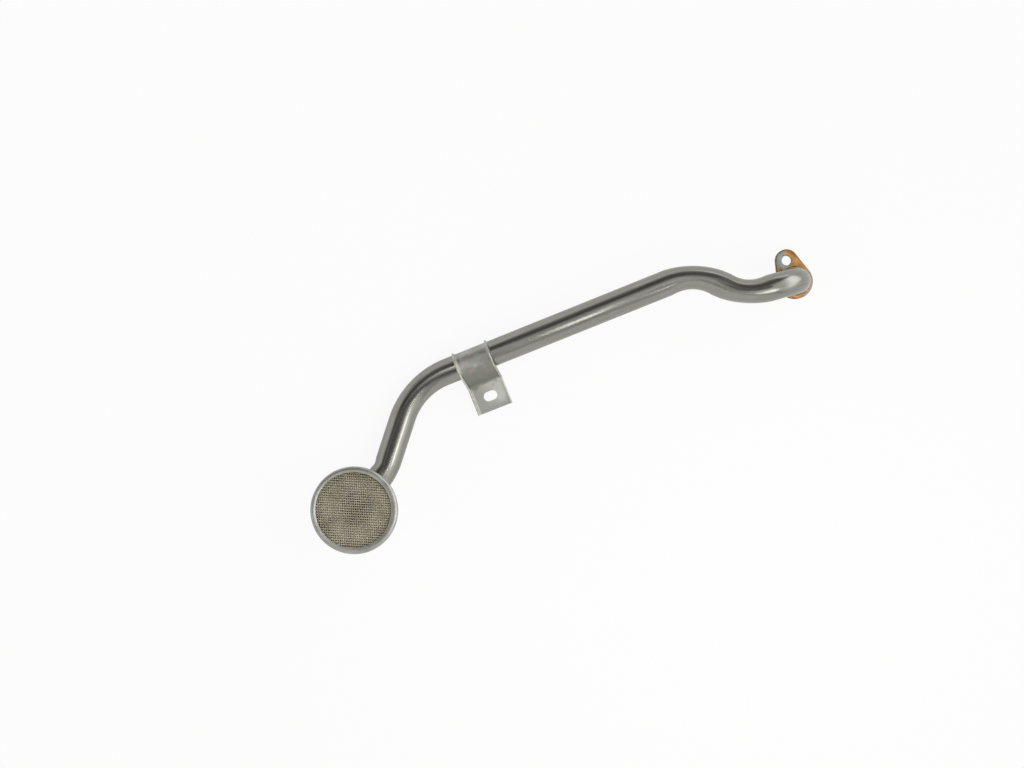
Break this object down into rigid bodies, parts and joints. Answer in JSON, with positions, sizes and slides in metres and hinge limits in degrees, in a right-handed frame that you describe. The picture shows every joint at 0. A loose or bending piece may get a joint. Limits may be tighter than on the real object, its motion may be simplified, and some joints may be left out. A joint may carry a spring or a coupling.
{
  "type": "oil pickup tube",
  "caption": "Bent steel tube that draws oil from a sump: spigot and bolted flange at one end, strap bracket on the run, round strainer cup with a wire screen at the other end.",
  "frame": {"origin": "on the spigot's axis, in the flange's mating face", "axes": "-Z along the spigot, away from the flange; +Z the way the screen faces; -X from the flange towards the strainer cup"},
  "size_m": [0.3604, 0.2176, 0.0616],
  "materials": {
    "tube_steel": "bright drawn tube with long soft streaks",
    "flange_copper": "copper wash from furnace brazing, worn to grey steel round the bolt hole",
    "braze": "copper braze metal, satin",
    "bracket_steel": "satin pressed sheet",
    "cup_steel": "satin pressed sheet",
    "screen_wire": "dull woven wire"
  },
  "bodies": {
    "root": {"pickup_tube": "tube_steel", "mounting_flange": "flange_copper", "flange_braze": "braze", "support_bracket": "bracket_steel", "strainer_cup": "cup_steel", "collar_braze": "braze", "screen": "screen_wire"}
  },
  "joints": []
}
